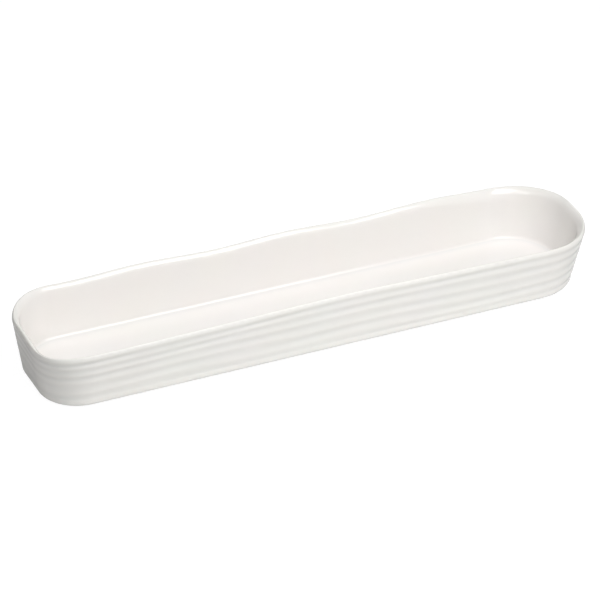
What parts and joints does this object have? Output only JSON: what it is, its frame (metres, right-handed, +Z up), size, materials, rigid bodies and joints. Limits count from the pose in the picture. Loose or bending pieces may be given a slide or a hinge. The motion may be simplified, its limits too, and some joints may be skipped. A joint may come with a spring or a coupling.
{
  "type": "cracker tray",
  "caption": "Long narrow porcelain serving tray with rounded ends, a flared finger-ribbed wall, a soft waved lip and a bare foot ring, for standing crackers on edge in a row.",
  "frame": {"origin": "on the table, under the middle of the rim", "axes": "+X along the tray towards its rounder end, +Y to its far long side, +Z up"},
  "size_m": [0.331, 0.08, 0.037],
  "materials": {
    "biscuit": "bare fired porcelain, matte and slightly warm",
    "glaze": "glossy white glaze"
  },
  "bodies": {
    "root": {"floor_slab": "biscuit", "ribbed_wall": "biscuit", "foot_ring": "biscuit", "inside_glaze": "glaze", "outside_glaze": "glaze", "underside_glaze": "glaze"}
  },
  "joints": []
}
